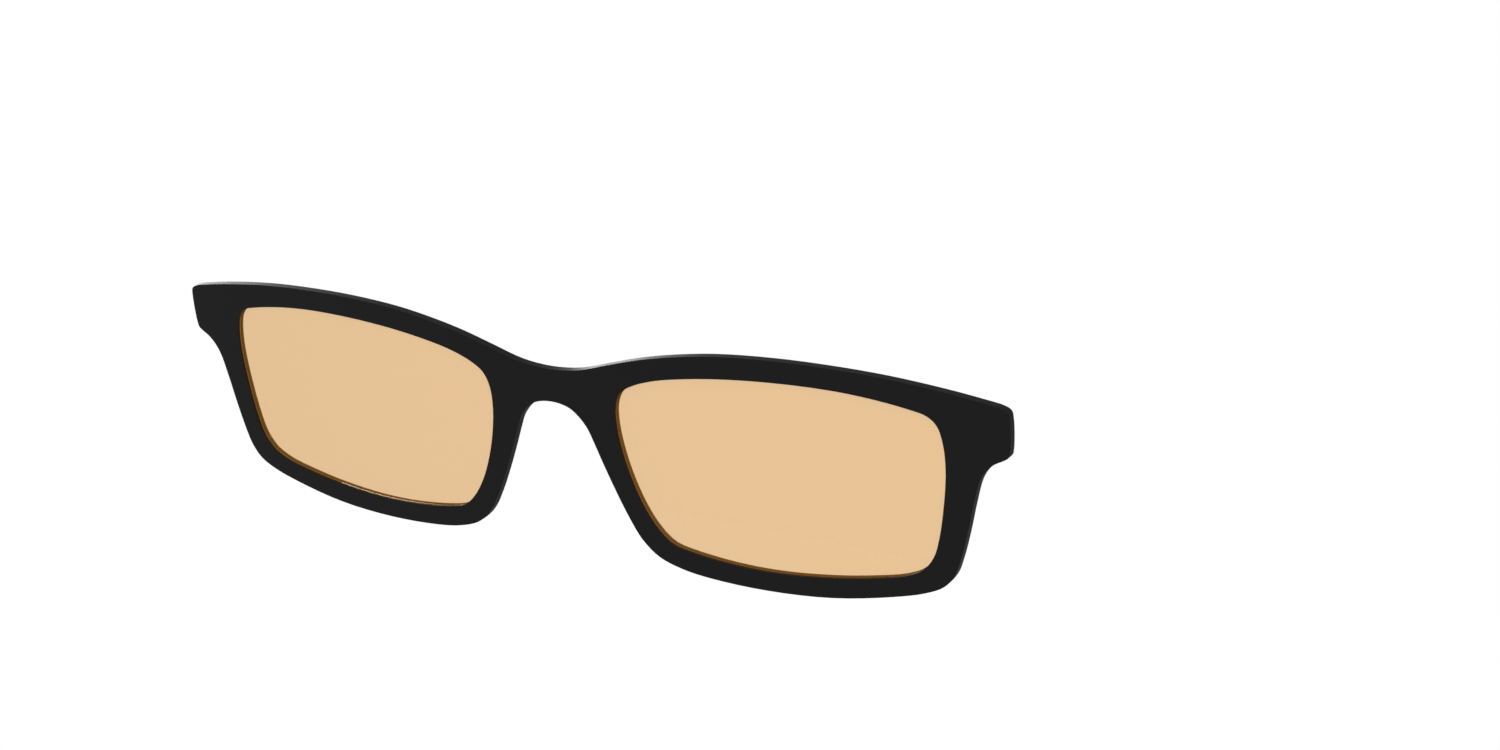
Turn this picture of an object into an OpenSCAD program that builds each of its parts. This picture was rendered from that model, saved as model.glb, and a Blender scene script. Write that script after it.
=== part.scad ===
// Clip-on flip-up lens front: two tinted lenses in a thin full-rim front, a friction hinge behind
// the bridge, and a sprung saddle clip that hooks over the bridge of a pair of spectacles.
// Millimetres, +Z up, the front faces -Y. The origin is the middle of the saddle's seat face.

/* [Front] */
// Depth of the front moulding from face to back
front_t = 1.2; // [1.2:0.1:1.6]
// Radius of the front's horizontal curve
face_r = 545; // [450:5:700]
// Distance from the front face to the seat on the spectacle bridge
stand_off = 9; // [9:0.1:9.5]
// Straight pieces drawn between two outline points
outline_steps = 4; // [2:1:6]

/* [Lenses] */
// Thickness of a lens
lens_t = 0.8; // [0.6:0.1:0.8]
// How far a lens face sits behind the front face
lens_inset = 0.35; // [0.3:0.01:0.38]
// Depth of the lens groove in the rim wall
groove_depth = 0.5; // [0.3:0.1:0.7]
// Width of the lens groove
groove_w = 0.4; // [0.3:0.05:0.45]

/* [Flip hinge] */
// Radius of the hinge knuckles
knuckle_r = 1; // [0.9:0.05:1.05]
// Radius of the hinge screw's shank
screw_r = 0.5; // [0.4:0.05:0.55]
// Half length of the middle knuckle
mid_half = 1.95; // [1.8:0.05:1.95]
// Thickness of the stamped hinge leaf
leaf_t = 0.5; // [0.4:0.05:0.5]

/* [Saddle clip] */
// Half width of the seat plate
plate_half = 3.6; // [3.2:0.1:3.8]
// Half width of the arm over the spectacle bridge
arm_half = 2.4; // [2.2:0.1:2.6]
// Gap between the two pads when the jaw rests on its stop
throat = 2.05; // [2.05:0.05:2.3]
// Thickness of each silicone pad in front of its plate
pad_t = 0.6; // [0.4:0.1:0.7]
// Radius of the jaw pin
pin_r = 0.4; // [0.35:0.05:0.45]
// Angle the front is flipped up
flip_angle = 0; // [0:5:90]
// Angle the jaw is opened
jaw_angle = 0; // [0:5:45]

/* [Hidden] */
$fn = 64;

// Heights are counted from the front's own datum, and the seat is this far above it
seat_z = 1;
// Lift of the flat land behind the bridge, above the back of the front
land = 0.1;
leaf_y = front_t + land;
// Hinge axis
hinge_y = leaf_y + 1.05;
hinge_z = 6.1;
// Jaw axis
jaw_y = stand_off + 2.9;
jaw_z = 2.6;
// Running clearance of a shank in its turning bore
run = 0.04;
// Clearance between moving faces
gap = 0.05;
washer_t = 0.2;
leaf_in = mid_half + gap + washer_t;
leaf_out = leaf_in + 2.5;
spring_washer_t = 0.25;
head_t = 0.55;
nut_t = 1;
// Length of the leaf's end windows, which clear the nut and the screw head
end_window = 1.15;
// Seat pad: width, height and corner radius
seat_w = 6.6;
seat_h = 2.5;
seat_corner = 0.9;
ear_t = 0.7;
jaw_half = arm_half - ear_t - 0.1;
// Coil of the jaw spring: mean radius, half length and turns
coil_r = 0.57;
coil_half = 0.64;
coil_turns = 4.25;
plate_t = 0.7;
web_under = 2.85;

// Outline of the right half of the front, from the top of the bridge round to the nose arch
half_outline = [
  [0, 8.2], [5, 8.65], [10, 10.05], [15, 11.45], [20, 12.5], [27, 13.5], [36, 13.95], [45, 13.8],
  [53, 13.25], [61, 12.2], [66, 11.3], [68.9, 10.65], [69.75, 10.15], [70, 9.5], [69.8, 4.1],
  [69.5, 3.6], [69.05, 3.3], [67.55, 2.5], [66.4, 1.4], [65.5, -0.1], [64.5, -3.5], [63.4, -8],
  [62.25, -12], [61.3, -14.4], [59.7, -16.3], [57, -17.6], [52, -18.9], [43, -20.4],
  [33, -20.85], [24, -20.4], [19.5, -19.7], [15.85, -18.4], [13.3, -16.15], [11.45, -13.1],
  [9.5, -9], [7.8, -5], [6.6, -2], [5.7, 0], [4.2, 1.8], [2.7, 2.75], [0, 3.2]
];
// Outline of the right lens opening, clockwise from its nose side
lens_outline = [
  [10.6, 2], [10.85, 4.2], [11.75, 6.05], [13.7, 7.35], [17, 8.55], [21, 9.4], [28, 10.3],
  [36, 10.75], [44, 10.7], [50, 10.2], [56, 9.2], [58.6, 8.45], [59.9, 7.2], [60.6, 4.8],
  [60.8, 1], [60.3, -4], [59.4, -9], [58.4, -12.1], [56.7, -14.2], [54, -15.5], [49, -16.55],
  [43, -17.4], [35, -17.95], [28, -17.75], [21, -16.85], [18.25, -16.1], [16.15, -14.35],
  [13.9, -10.95], [11.95, -6], [10.85, -1.2]
];

// Knot spacing, slope and point of a smooth curve through four outline points
function knot(a, b) = sqrt(norm(b - a));
function slope(a, b, c) =
  (b - a) / knot(a, b) - (c - a) / (knot(a, b) + knot(b, c)) + (c - b) / knot(b, c);
function curve_point(a, b, c, d, t) =
  let (start = slope(a, b, c) * knot(b, c), finish = slope(b, c, d) * knot(b, c))
  b * (2 * t ^ 3 - 3 * t ^ 2 + 1) + start * (t ^ 3 - 2 * t ^ 2 + t)
  + c * (3 * t ^ 2 - 2 * t ^ 3) + finish * (t ^ 3 - t ^ 2);
// Closed smooth loop through points
function smooth_loop(points, steps) =
  let (n = len(points))
  [for (i = [0:n - 1]) for (s = [0:steps - 1])
    curve_point(points[(i + n - 1) % n], points[i], points[(i + 1) % n], points[(i + 2) % n],
      s / steps)];
// Clockwise loop moved outward by a distance
function grown(loop, by) =
  let (n = len(loop))
  [for (i = [0:n - 1])
    let (along = loop[(i + 1) % n] - loop[(i + n - 1) % n])
    loop[i] + by * [-along[1], along[0]] / norm(along)];
function mirrored(points) = [for (i = [len(points) - 2:-1:1]) [-points[i][0], points[i][1]]];

// Half width and step of the curved sheet the front is cut from
sheet_half = 72;
sheet_step = 4;
// Depth of a sheet line at a distance from the middle
function sheet_y(x, depth) = face_r - sqrt((face_r - depth) ^ 2 - x ^ 2);

front_loop = smooth_loop(concat(half_outline, mirrored(half_outline)), outline_steps);
opening_loop = smooth_loop(lens_outline, outline_steps);

// Moves a piece from the front's datum to the seat
module from_seat() {
  translate([0, -stand_off, -seat_z]) children();
}

// Turns a piece of the front about the hinge axis
module flipped() {
  from_seat()
    translate([0, hinge_y, hinge_z])
      rotate([-flip_angle, 0, 0])
        translate([0, -hinge_y, -hinge_z]) children();
}

// Turns a piece of the jaw about its pin
module opened() {
  from_seat()
    translate([0, jaw_y, jaw_z])
      rotate([jaw_angle, 0, 0])
        translate([0, -jaw_y, -jaw_z]) children();
}

// A flat shape in X and Z, given depth from y0 back to y1
module slab(y0, y1) {
  translate([0, y1, 0]) rotate([90, 0, 0]) linear_extrude(height = y1 - y0) children();
}

// A side profile in Y and Z, given width from x0 to x1
module across(x0, x1) {
  translate([x0, 0, 0]) rotate([90, 0, 90]) linear_extrude(height = x1 - x0) children();
}

// A round bar along X
module bar(x0, x1, y, z, r) {
  translate([x0, y, z]) rotate([0, 90, 0]) cylinder(r = r, h = x1 - x0);
}

// A turned shape along X, its profile given as radius and distance
module turned(x, y, z) {
  translate([x, y, z]) rotate([0, 90, 0]) rotate_extrude() children();
}

// A flat rectangle with round corners
module round_rect(x, z, w, h, r) {
  translate([x, z]) {
    square([w - 2 * r, h], center = true);
    square([w, h - 2 * r], center = true);
    for (i = [-1, 1], j = [-1, 1]) translate([i * (w / 2 - r), j * (h / 2 - r)]) circle(r = r);
  }
}

// The curved sheet between two depths behind the front face
module face_sheet(depth0, depth1) {
  translate([0, 0, -30]) linear_extrude(height = 60) polygon(concat(
    [for (x = [-sheet_half:sheet_step:sheet_half]) [x, sheet_y(x, depth0)]],
    [for (x = [sheet_half:-sheet_step:-sheet_half]) [x, sheet_y(x, depth1)]]
  ));
}

// An outline cut out of the curved sheet
module face_cut(loop, depth0, depth1) {
  intersection() {
    face_sheet(depth0, depth1);
    slab(-2, 9) polygon(loop);
  }
}

groove_y = lens_inset + lens_t / 2 - groove_w / 2;

// Flat shape of the leaf: a strip behind the bridge with a wing at each end
module leaf_shape() {
  round_rect(0, hinge_z - 0.25, 11, 3.7, 0.4);
  for (side = [-1, 1]) round_rect(side * 6.9, 5.1, 3.6, 4.8, 0.9);
}

stud_r = 0.55;
stud_x = 6.9;
stud_z = [3.9, 6.3];

module front_frame() {
  color("#222222") flipped() {
    difference() {
      face_cut(front_loop, 0, front_t);
      for (side = [0, 1]) mirror([side, 0, 0]) {
        slab(-2, 9) polygon(opening_loop);
        face_cut(grown(opening_loop, groove_depth), groove_y, groove_y + groove_w);
      }
    }
    slab(front_t - 0.4, leaf_y) leaf_shape();
    for (side = [-1, 1], z = stud_z) translate([side * stud_x, leaf_y - 0.3, z])
      rotate([-90, 0, 0]) rotate_extrude() polygon([
        [0, 0], [stud_r, 0], [stud_r, 0.3 + leaf_t], [0.95, 0.3 + leaf_t], [0.9, 0.5 + leaf_t],
        [0.65, 0.65 + leaf_t], [0, 0.7 + leaf_t]
      ]);
  }
}

// A lens wafer with a tongue round its edge
module lens(side) {
  color("#ebc89a", 0.55) flipped() mirror([side, 0, 0]) {
    face_cut(grown(opening_loop, -0.02), lens_inset, lens_inset + lens_t);
    face_cut(grown(opening_loop, groove_depth - 0.1), groove_y + 0.02, groove_y + groove_w - 0.02);
  }
}

module lens_right() {
  lens(0);
}

module lens_left() {
  lens(1);
}

module hinge_leaf() {
  color("#3a3a3d") flipped() difference() {
    union() {
      slab(leaf_y, leaf_y + leaf_t) difference() {
        leaf_shape();
        translate([0, hinge_z]) square([2 * leaf_in, 1.9], center = true);
        for (side = [-1, 1]) translate([side * (leaf_out + end_window / 2), hinge_z])
          square([end_window, 2], center = true);
        for (side = [-1, 1], z = stud_z) translate([side * stud_x, z]) circle(r = stud_r);
      }
      for (side = [0, 1]) mirror([side, 0, 0]) bar(leaf_in, leaf_out, hinge_y, hinge_z, knuckle_r);
    }
    bar(-leaf_out - 1, leaf_out + 1, hinge_y, hinge_z, screw_r);
  }
}

module hinge_screw() {
  head_x = leaf_out + spring_washer_t;
  color("#8b8c90") flipped() difference() {
    union() {
      bar(-leaf_out - 0.7, head_x, hinge_y, hinge_z, screw_r);
      turned(head_x, hinge_y, hinge_z) polygon([
        [0, 0], [0.95, 0], [0.95, 0.35], [0.8, head_t], [0, head_t]
      ]);
    }
    translate([head_x + head_t, hinge_y, hinge_z]) cube([0.4, 0.28, 3], center = true);
  }
}

module hinge_nut() {
  color("#8b8c90") flipped() difference() {
    translate([-leaf_out - nut_t, hinge_y, hinge_z]) rotate([0, 90, 0]) {
      translate([0, 0, 0.3]) cylinder(r = 0.95, h = nut_t - 0.3, $fn = 6);
      cylinder(r1 = 0.45, r2 = 0.82, h = 0.3);
    }
    bar(-leaf_out - 0.7, -leaf_out + 1, hinge_y, hinge_z, screw_r);
  }
}

module friction_washers() {
  color("#d8d4c6") flipped()
    for (side = [0, 1]) mirror([side, 0, 0]) difference() {
      bar(leaf_in - washer_t, leaf_in, hinge_y, hinge_z, 0.95);
      bar(0, leaf_out, hinge_y, hinge_z, screw_r);
    }
}

module spring_washer() {
  color("#b9babd") flipped() turned(leaf_out, hinge_y, hinge_z) polygon([
    [screw_r, 0.13], [0.93, 0], [0.93, 0.12], [screw_r, spring_washer_t]
  ]);
}

module bridge_bracket() {
  plate_y = stand_off - pad_t;
  color("#26262a") from_seat() difference() {
    union() {
      bar(-mid_half, mid_half, hinge_y, hinge_z, knuckle_r);
      // Neck from the middle knuckle back to the seat plate, with the closed stop under it
      across(-1.7, 1.7) polygon([
        [hinge_y + 0.85, 6.6], [4.1, 6.6], [5.6, 5.8], [7, 4.9], [plate_y, 3.9], [plate_y, 1.8],
        [7.2, 2.8], [6.4, 3.9], [5.2, 4.8], [4, 5.2], [3.1, 5.2], [2.5, 4.4],
        [leaf_y + leaf_t + gap, 4.4], [leaf_y + leaf_t + gap, 5.25], [hinge_y, hinge_z]
      ]);
      slab(plate_y - plate_t, plate_y) round_rect(0, 1.7, 2 * plate_half, 4.4, 1.4);
      // Arm over the spectacle bridge
      across(-arm_half, arm_half) polygon([
        [plate_y - plate_t, 3.9], [stand_off, 3.85], [jaw_y - 0.9, 3.5], [jaw_y - 0.9, web_under],
        [plate_y - plate_t, web_under]
      ]);
      for (side = [0, 1]) mirror([side, 0, 0]) {
        across(arm_half - ear_t, arm_half) polygon([
          [jaw_y - 1.4, 3.55], [jaw_y, 3.45], [jaw_y, 1.75], [jaw_y - 0.5, 1.91],
          [jaw_y - 1.4, web_under]
        ]);
        bar(arm_half - ear_t, arm_half, jaw_y, jaw_z, 0.85);
      }
    }
    bar(-3, 3, hinge_y, hinge_z, screw_r + run);
    bar(-3, 3, jaw_y, jaw_z, pin_r);
    // Recess that holds the seat pad
    slab(plate_y - 0.2, plate_y + 1) round_rect(0, seat_z, seat_w, seat_h, seat_corner);
    // Hole for the fixed leg of the jaw spring
    translate([-coil_half, jaw_y - 2, jaw_z + coil_r])
      rotate([-90, 0, 0]) cylinder(r = 0.2, h = 1.2);
  }
}

module seat_pad() {
  color("#55565a") from_seat() difference() {
    slab(stand_off - pad_t - 0.2, stand_off) round_rect(0, seat_z, seat_w, seat_h, seat_corner);
    for (side = [-1, 1]) translate([0, stand_off, seat_z + side * 0.7])
      cube([4.6, 0.3, 0.25], center = true);
  }
}

module jaw_pin() {
  color("#a9aaad") from_seat() {
    bar(-arm_half - 0.1, arm_half + 0.35, jaw_y, jaw_z, pin_r);
    turned(-arm_half - 0.25, jaw_y, jaw_z) polygon([
      [0, 0], [0.5, 0], [0.65, 0.1], [0.65, 0.25], [0, 0.25]
    ]);
  }
}

module jaw_pin_cap() {
  color("#8b8c90") from_seat() turned(arm_half, jaw_y, jaw_z) polygon([
    [pin_r, 0], [0.65, 0], [0.65, 0.2], [0.55, 0.3], [pin_r, 0.3]
  ]);
}

module spring_jaw() {
  back_y = stand_off + throat + pad_t;
  color("#26262a") opened() difference() {
    union() {
      for (side = [0, 1]) mirror([side, 0, 0]) {
        bar(0.9, jaw_half, jaw_y, jaw_z, 0.75);
        // Hanger below the knuckle, and the heel that stops under the arm
        across(0.9, jaw_half) polygon([
          [back_y - 0.1, jaw_z], [back_y + 0.6, jaw_z], [back_y + 0.6, 1.2], [back_y, 1.2]
        ]);
        across(0.9, jaw_half) polygon([
          [jaw_y - 1.3, web_under - gap], [jaw_y - 0.4, web_under - gap], [jaw_y - 0.3, 2.1],
          [jaw_y - 1.3, 2.4]
        ]);
      }
      // Tongue behind the spectacle bridge, with a lip that guides it on
      intersection() {
        across(-arm_half, arm_half) polygon([
          [back_y, 1.6], [back_y + 0.6, 1.6], [back_y + 0.6, -0.5], [back_y + 0.85, -1.15],
          [back_y + 1.5, -1.65], [back_y + 1.2, -2.15], [back_y + 0.4, -1.7], [back_y, -0.9]
        ]);
        slab(jaw_y - 3, jaw_y + 3) round_rect(0, -0.3, 2 * arm_half, 3.8, 0.8);
      }
    }
    bar(-3, 3, jaw_y, jaw_z, pin_r + 0.03);
    // Window that leaves room for the spring
    translate([0, jaw_y, 1.9]) cube([1.8, 3, 1.4], center = true);
  }
}

module jaw_pad() {
  back_y = stand_off + throat + pad_t;
  color("#55565a") opened() slab(back_y - pad_t, back_y) round_rect(0, 0.25, 4, 2, 0.7);
}

wire_r = 0.13;
wire_sides = 10;
coil_steps = 20;

// Centre line of the torsion spring: leg in the arm, coil round the pin, leg behind the jaw
spring_path = concat(
  [[-coil_half, -1.45, coil_r], [-coil_half, -0.4, coil_r]],
  [for (i = [0:coil_steps * coil_turns])
    let (turn = i / coil_steps)
    [2 * coil_half * turn / coil_turns - coil_half, coil_r * sin(360 * turn),
      coil_r * cos(360 * turn)]],
  [[coil_half, coil_r, -0.5], [coil_half, 0.46, -1.9]]
);

// Round wire swept along a path
module wire(path, r) {
  n = len(path);
  rings = [
    for (i = [0:n - 1])
      let (
        along = path[min(i + 1, n - 1)] - path[max(i - 1, 0)],
        side = cross(along, [1, 0, 0]) / norm(cross(along, [1, 0, 0])),
        up = cross(side, along) / norm(along)
      )
      for (k = [0:wire_sides - 1])
        path[i] + r * (cos(360 * k / wire_sides) * side + sin(360 * k / wire_sides) * up)
  ];
  walls = [
    for (i = [0:n - 2], k = [0:wire_sides - 1])
      let (next = (k + 1) % wire_sides)
      [i * wire_sides + k, i * wire_sides + next, (i + 1) * wire_sides + next,
        (i + 1) * wire_sides + k]
  ];
  polyhedron(rings, concat(
    walls,
    [[for (k = [wire_sides - 1:-1:0]) k]],
    [[for (k = [0:wire_sides - 1]) (n - 1) * wire_sides + k]]
  ));
}

module jaw_spring() {
  color("#b9babd") from_seat() translate([0, jaw_y, jaw_z]) wire(spring_path, wire_r);
}

front_frame();
lens_right();
lens_left();
hinge_leaf();
hinge_screw();
hinge_nut();
friction_washers();
spring_washer();
bridge_bracket();
seat_pad();
jaw_pin();
jaw_pin_cap();
spring_jaw();
jaw_pad();
jaw_spring();
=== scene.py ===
# Clip-on flip-up lens front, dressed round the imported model.
# Metres, +Z up as worn, the front faces -Y, and the origin is the saddle's seat face.
import math

import bpy
from mathutils import Matrix, Vector


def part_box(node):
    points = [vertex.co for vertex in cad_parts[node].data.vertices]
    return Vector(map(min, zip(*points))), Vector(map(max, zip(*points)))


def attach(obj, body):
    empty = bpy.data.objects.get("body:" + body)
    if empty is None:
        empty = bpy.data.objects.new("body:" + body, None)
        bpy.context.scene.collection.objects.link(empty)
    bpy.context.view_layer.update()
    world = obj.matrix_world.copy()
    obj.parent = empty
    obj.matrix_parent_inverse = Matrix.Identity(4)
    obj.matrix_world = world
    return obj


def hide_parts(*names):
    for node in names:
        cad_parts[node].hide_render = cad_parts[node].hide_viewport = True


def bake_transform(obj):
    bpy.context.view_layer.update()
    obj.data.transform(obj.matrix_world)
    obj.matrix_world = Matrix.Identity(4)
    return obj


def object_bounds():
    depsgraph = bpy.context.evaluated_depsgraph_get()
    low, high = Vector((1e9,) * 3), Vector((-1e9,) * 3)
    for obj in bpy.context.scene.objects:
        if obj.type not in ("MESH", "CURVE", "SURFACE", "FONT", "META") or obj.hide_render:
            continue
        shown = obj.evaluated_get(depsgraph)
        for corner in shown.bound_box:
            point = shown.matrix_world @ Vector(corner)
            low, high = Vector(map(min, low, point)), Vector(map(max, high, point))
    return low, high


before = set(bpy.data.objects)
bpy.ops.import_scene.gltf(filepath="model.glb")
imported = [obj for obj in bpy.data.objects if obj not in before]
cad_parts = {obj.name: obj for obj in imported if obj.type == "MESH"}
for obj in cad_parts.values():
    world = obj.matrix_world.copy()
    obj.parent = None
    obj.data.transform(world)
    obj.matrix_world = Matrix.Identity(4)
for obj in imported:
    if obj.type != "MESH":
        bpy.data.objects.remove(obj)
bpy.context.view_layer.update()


# ---- Front: one-piece moulded nylon, matte black ----
# Rims, bridge and end pieces come out of the mould in one shot. The tool is finely spark-eroded,
# so the face is matte and only the small edge radii catch the light. Such a grain is usually
# some 0.04 mm and is drawn at 0.15 mm so that it shows.

MM = 0.001
MERGE = 0.002 * MM
FLAT_WITHIN = math.radians(0.1)
SHARP_OVER = math.radians(35)
SMOOTH_UNDER = math.radians(60)
BIG_FACE_WEIGHT = 90


def linear(code):
    """An sRGB hex colour as the linear colour a shader takes."""
    parts = [int(code[i:i + 2], 16) / 255 for i in (1, 3, 5)]
    return tuple(c / 12.92 if c <= 0.04045 else ((c + 0.055) / 1.055) ** 2.4 for c in parts) + (1,)


def add_node(tree, kind, inputs=None, **settings):
    """Adds a shader node with its settings, values and links."""
    made = tree.nodes.new(kind)
    for name, value in settings.items():
        setattr(made, name, value)
    for name, value in (inputs or {}).items():
        if isinstance(value, bpy.types.NodeSocket):
            tree.links.new(value, made.inputs[name])
        else:
            made.inputs[name].default_value = value
    return made


def new_material(name, **surface):
    """A material and its node tree, Principled shader and object coordinates."""
    material = bpy.data.materials.new(name)
    material.use_nodes = True
    tree = material.node_tree
    shader = next(n for n in tree.nodes if n.type == "BSDF_PRINCIPLED")
    for socket, value in surface.items():
        shader.inputs[socket.replace("_", " ")].default_value = value
    place = add_node(tree, "ShaderNodeTexCoord").outputs["Object"]
    return material, tree, shader, place


def grain(tree, shader, place, size, depth, rough, tones):
    """Surface texture: bumps of a real size and depth, a roughness range and two colour tones."""
    fine = add_node(tree, "ShaderNodeTexNoise",
                    {"Vector": place, "Scale": 1 / size, "Detail": 3, "Roughness": 0.6})
    bump = add_node(tree, "ShaderNodeBump",
                    {"Height": fine.outputs["Fac"], "Strength": 1, "Distance": depth})
    tree.links.new(bump.outputs["Normal"], shader.inputs["Normal"])
    broad = add_node(tree, "ShaderNodeTexNoise", {"Vector": place, "Scale": 1 / (size * 40)})
    spread = add_node(tree, "ShaderNodeMapRange",
                      {"Value": broad.outputs["Fac"], "From Min": 0.3, "From Max": 0.7,
                       "To Min": rough[0], "To Max": rough[1]})
    tree.links.new(spread.outputs["Result"], shader.inputs["Roughness"])
    ramp = add_node(tree, "ShaderNodeValToRGB", {"Fac": fine.outputs["Fac"]})
    for stop, where, tone in zip(ramp.color_ramp.elements, (0.3, 0.7), tones):
        stop.position = where
        stop.color = linear(tone)
    tree.links.new(ramp.outputs["Color"], shader.inputs["Base Color"])


def only(piece):
    """Makes one object the only one selected."""
    bpy.ops.object.select_all(action="DESELECT")
    piece.select_set(True)
    bpy.context.view_layer.objects.active = piece


def dressed(node, body, material, edge, segments=2, ride=True):
    """A finished copy of a CAD node: merged, its sharp edges rounded, smooth shaded."""
    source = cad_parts[node]
    piece = bpy.data.objects.new(node + "_finish", source.data.copy())
    bpy.context.collection.objects.link(piece)
    only(piece)
    bpy.ops.object.mode_set(mode="EDIT")
    bpy.ops.mesh.select_all(action="SELECT")
    bpy.ops.mesh.remove_doubles(threshold=MERGE)
    bpy.ops.mesh.dissolve_limited(angle_limit=FLAT_WITHIN)
    bpy.ops.object.mode_set(mode="OBJECT")
    if edge:
        round_off = piece.modifiers.new("edges", "BEVEL")
        round_off.width = edge
        round_off.segments = segments
        round_off.angle_limit = SHARP_OVER
        bpy.ops.object.modifier_apply(modifier=round_off.name)
    bpy.ops.object.shade_smooth_by_angle(angle=SMOOTH_UNDER)
    if edge:
        even = piece.modifiers.new("even_shading", "WEIGHTED_NORMAL")
        even.weight = BIG_FACE_WEIGHT
        even.keep_sharp = True
        bpy.ops.object.modifier_apply(modifier=even.name)
    piece.data.materials.clear()
    piece.data.materials.append(material)
    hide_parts(node)
    if ride:
        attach(piece, body)
    return piece


# The front is bent to a 545 mm radius, and its face stands 9 mm in front of the seat.
CURVE_CENTRE_Y = (545 - 9) * MM


def curve_shaded(piece):
    """Shades the front and back of a curved sheet as one true cylinder."""
    mesh = piece.data
    normals = [corner.vector.copy() for corner in mesh.corner_normals]
    for face in mesh.polygons:
        if abs(face.normal.y) > 0.98:
            for loop in face.loop_indices:
                spot = mesh.vertices[mesh.loops[loop].vertex_index].co
                out = Vector((spot.x, spot.y - CURVE_CENTRE_Y, 0)).normalized()
                normals[loop] = out if face.normal.y < 0 else -out
    mesh.normals_split_custom_set(normals)


front_nylon, tree, shader, place = new_material(
    "moulded_nylon_matte_black", Specular_IOR_Level=0.4, IOR=1.53)
grain(tree, shader, place, size=0.15 * MM, depth=0.003 * MM, rough=(0.3, 0.34),
      tones=("#171718", "#1c1c1d"))
curve_shaded(dressed("front_frame", "front", front_nylon, edge=0.12 * MM, segments=3))


# ---- Lenses: cast amber sheet, polished both sides ----
# A 0.8 mm wafer sprung into the rim's groove. The eye sees the rim wall through it as a brown
# band, a little body in its colour, a long slow ripple from casting, and a glancing gloss.

lens_amber, tree, shader, place = new_material(
    "cast_amber_lens", Base_Color=linear("#f6b44c"), Roughness=0.03, IOR=1.5,
    Specular_IOR_Level=0.8)
ripple = add_node(tree, "ShaderNodeTexNoise", {"Vector": place, "Scale": 1 / (9 * MM)})
bump = add_node(tree, "ShaderNodeBump",
                {"Height": ripple.outputs["Fac"], "Strength": 1, "Distance": 0.01 * MM})
tree.links.new(bump.outputs["Normal"], shader.inputs["Normal"])
clear = add_node(tree, "ShaderNodeBsdfTransparent", {"Color": linear("#feeed6")})
glance = add_node(tree, "ShaderNodeLayerWeight", {"Blend": 0.5})
gloss = add_node(tree, "ShaderNodeMath", {0: glance.outputs["Facing"], 1: 5}, operation="POWER")
solid = add_node(tree, "ShaderNodeMapRange",
                 {"Value": gloss.outputs["Value"], "To Min": 0.19, "To Max": 1})
tinted = add_node(tree, "ShaderNodeMixShader",
                  {0: solid.outputs["Result"], 1: clear.outputs["BSDF"],
                   2: shader.outputs["BSDF"]})
output = next(n for n in tree.nodes if n.type == "OUTPUT_MATERIAL")
tree.links.new(tinted.outputs["Shader"], output.inputs["Surface"])
for side in ("right", "left"):
    curve_shaded(dressed("lens_" + side, "front", lens_amber, edge=0))


# ---- Hinge leaf: stamped spring steel, black-nickel plated ----
# Pressed from half-millimetre strip with its knuckles rolled, tumbled smooth and plated, and held
# by four studs of the front that are formed over it hot. A darker, softer shine than the screw's.
# Tumbling usually leaves marks of some 0.05 mm, which are drawn at 0.12 mm.

leaf_nickel, tree, shader, place = new_material("black_nickel_plated_steel", Metallic=1.0)
grain(tree, shader, place, size=0.12 * MM, depth=0.001 * MM, rough=(0.26, 0.34),
      tones=("#6d6b69", "#7d7b79"))
dressed("hinge_leaf", "front", leaf_nickel, edge=0.07 * MM)


# ---- Hinge screw, nut and spring washer: turned stainless steel ----
# The shouldered screw passes all three knuckles, the nut sets the friction and the coned washer
# takes up wear. Bright, with its glints broken by fine tool marks, drawn coarser at 0.08 mm.

turned_steel, tree, shader, place = new_material("turned_stainless_steel", Metallic=1.0)
grain(tree, shader, place, size=0.08 * MM, depth=0.001 * MM, rough=(0.2, 0.32),
      tones=("#a9aaad", "#c2c3c6"))
dressed("hinge_screw", "front", turned_steel, edge=0.04 * MM)
dressed("hinge_nut", "front", turned_steel, edge=0.04 * MM)
dressed("spring_washer", "front", turned_steel, edge=0.02 * MM)


# ---- Friction washers: two punched nylon discs ----
# Undyed nylon sheet, one disc each side of the middle knuckle, which keep steel off the moulding.
# They show as two thin ivory lines, a little translucent.

washer_nylon, tree, shader, place = new_material(
    "natural_nylon", Subsurface_Weight=0.1, Subsurface_Scale=0.2 * MM)
grain(tree, shader, place, size=0.1 * MM, depth=0.001 * MM, rough=(0.4, 0.5),
      tones=("#d6d0bd", "#e2ddcd"))
dressed("friction_washers", "front", washer_nylon, edge=0.03 * MM)


# ---- Bridge bracket: moulded glass-filled nylon, fine matte black ----
# Middle knuckle, neck, seat plate and the arm over the spectacle bridge in one moulding. The glass
# leaves it duller and rougher than the front. Its fine grain is drawn coarser, at 0.1 mm.

bracket_nylon, tree, shader, place = new_material(
    "moulded_filled_nylon_black", Specular_IOR_Level=0.3)
grain(tree, shader, place, size=0.1 * MM, depth=0.003 * MM, rough=(0.45, 0.58),
      tones=("#141415", "#1c1c1e"))
dressed("bridge_bracket", "saddle", bracket_nylon, edge=0.12 * MM, segments=3)


# ---- Seat pad and jaw pad: moulded silicone, soft grey ----
# Bonded into their plates so that nothing hard touches the spectacles. Grey rubber with soft
# edges and almost no shine, its fine grain drawn at 0.14 mm.

pad_silicone, tree, shader, place = new_material(
    "moulded_silicone_grey", Subsurface_Weight=0.15, Subsurface_Scale=0.3 * MM,
    Specular_IOR_Level=0.35)
grain(tree, shader, place, size=0.14 * MM, depth=0.003 * MM, rough=(0.55, 0.7),
      tones=("#4f5054", "#5b5c60"))
dressed("seat_pad", "saddle", pad_silicone, edge=0.1 * MM, segments=3)
dressed("jaw_pad", "jaw", pad_silicone, edge=0.12 * MM, segments=3)


# ---- Jaw and its pin: the bracket's nylon, and turned steel ----
# The jaw is moulded like the bracket and swings between its ears on a headed pin, which a cap
# pressed on the other end keeps in.

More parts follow.
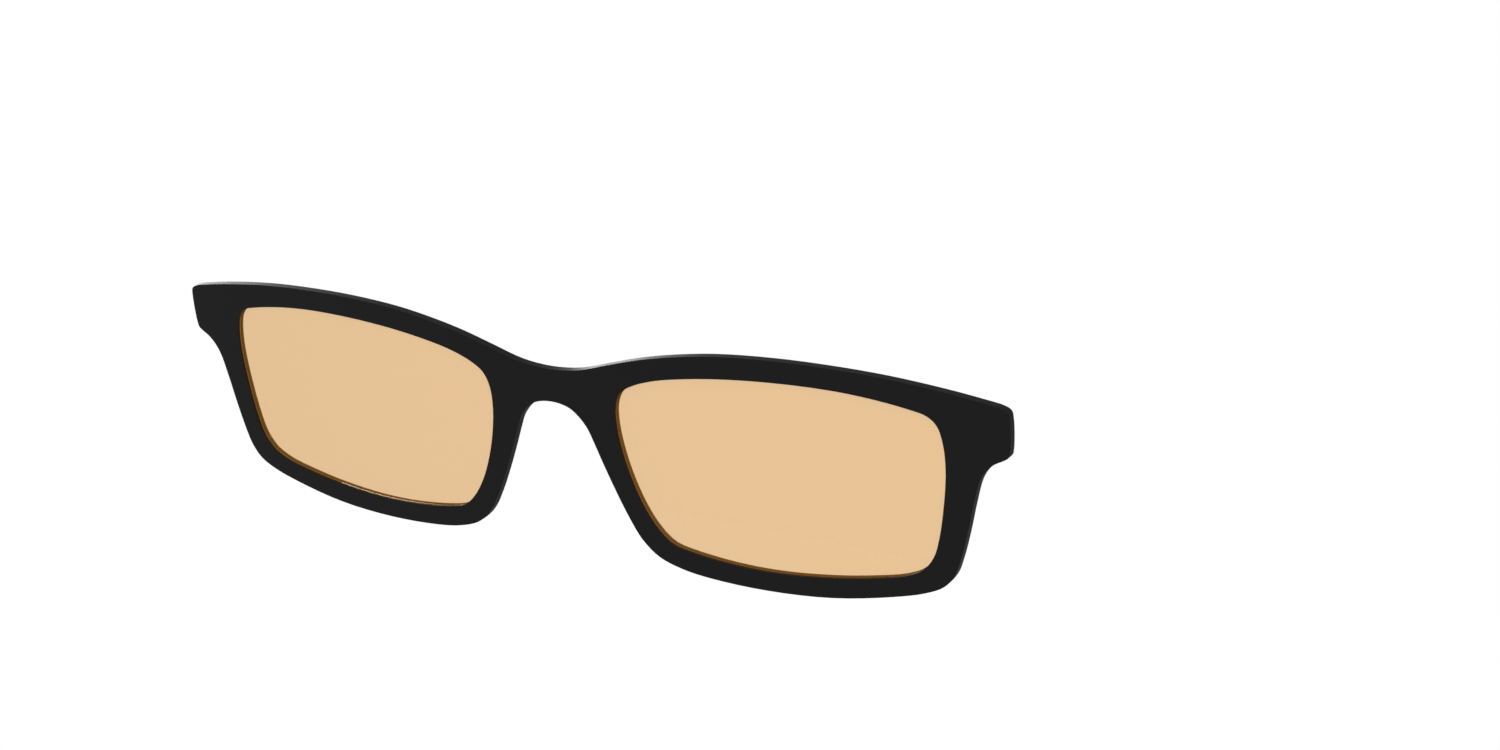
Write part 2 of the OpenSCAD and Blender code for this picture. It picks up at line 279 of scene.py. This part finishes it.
dressed("spring_jaw", "jaw", bracket_nylon, edge=0.1 * MM, segments=3)
dressed("jaw_pin", "saddle", turned_steel, edge=0.03 * MM)
dressed("jaw_pin_cap", "saddle", turned_steel, edge=0.03 * MM)


# ---- Jaw spring: wound from drawn steel wire ----
# One leg lies in the arm and the other behind the jaw, with the coil between them; here the piece
# rides on no body. Greyer than the pin, its fine drawing marks drawn coarser at 0.06 mm.

spring_wire, tree, shader, place = new_material("drawn_spring_wire", Metallic=1.0)
grain(tree, shader, place, size=0.06 * MM, depth=0.0008 * MM, rough=(0.22, 0.34),
      tones=("#96979b", "#b0b1b5"))
spring = dressed("jaw_spring", "saddle", spring_wire, edge=0, ride=False)
low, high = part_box("jaw_spring")
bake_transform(spring)


# ---- Light table and room ----
# The part hangs over a white light table, as it hangs on spectacles. The table and the room are
# bright to the eye and dim to the part, so that black edges stay dark between the soft boxes.

TABLE_DROP = 300 * MM
TABLE_SIZE = 0.9
ROOM_ON_PART = 0.2

low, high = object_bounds()
bpy.ops.object.select_all(action="DESELECT")
bpy.ops.mesh.primitive_plane_add(size=TABLE_SIZE, location=(0, 0.1, low.z - TABLE_DROP))
floor = bpy.context.object
floor.name = "floor"
table_white, tree, shader, place = new_material(
    "pale_light_table", Base_Color=linear("#202020"), Roughness=0.9, Specular_IOR_Level=0.1,
    Emission_Color=(1, 1, 1, 1), Emission_Strength=1.0)
floor.data.materials.append(table_white)
floor.visible_glossy = floor.visible_diffuse = floor.visible_shadow = False

world = bpy.data.worlds.new("studio")
world.use_nodes = True
tree = world.node_tree
path = add_node(tree, "ShaderNodeLightPath")
level = add_node(tree, "ShaderNodeMapRange",
                 {"Value": path.outputs["Is Camera Ray"], "To Min": ROOM_ON_PART, "To Max": 1})
background = tree.nodes["Background"]
background.inputs["Color"].default_value = (1, 1, 1, 1)
tree.links.new(level.outputs["Result"], background.inputs["Strength"])
bpy.context.scene.world = world
bpy.context.scene.view_settings.view_transform = "Standard"


# ---- Soft boxes ----
# A broad key lights the face from in front and above. A small box low behind draws the grey line
# along the top edges and the glint on the end piece.

def soft_box(name, spot, width, height, power):
    """An area light aimed at the seat, unseen itself."""
    data = bpy.data.lights.new(name, "AREA")
    data.shape = "RECTANGLE"
    data.size = width
    data.size_y = height
    data.energy = power
    light = bpy.data.objects.new(name, data)
    light.location = spot
    light.rotation_euler = (-Vector(spot)).to_track_quat("-Z", "Y").to_euler()
    light.visible_camera = False
    bpy.context.collection.objects.link(light)


soft_box("key", spot=(0.45, -0.9, 0.8), width=1.0, height=1.0, power=9.5)
soft_box("rim", spot=(-0.7, 0.71, 0.0), width=0.3, height=0.16, power=0.6)


# ---- Camera ----
# From the wearer's left and above, tipped a little to one side, and aimed past the middle so
# that the part sits left of centre.

CAMERA_AIM = Vector((23.01, 7.57, 3.15)) * MM
CAMERA_DISTANCE = 399.1 * MM
CAMERA_ROUND = math.radians(32.79)
CAMERA_RISE = math.radians(21.84)
CAMERA_ROLL = math.radians(-4.72)

camera_data = bpy.data.cameras.new("camera")
camera_data.lens = 67.58
camera_data.sensor_width = 36
camera_data.clip_start = 0.001
camera_data.clip_end = 30
camera = bpy.data.objects.new("camera", camera_data)
bpy.context.collection.objects.link(camera)
turn = (Matrix.Rotation(CAMERA_ROUND, 3, "Z")
        @ Matrix.Rotation(math.radians(90) - CAMERA_RISE, 3, "X")
        @ Matrix.Rotation(CAMERA_ROLL, 3, "Z"))
camera.rotation_euler = turn.to_euler()
camera.location = CAMERA_AIM + turn @ Vector((0, 0, CAMERA_DISTANCE))
bpy.context.scene.camera = camera
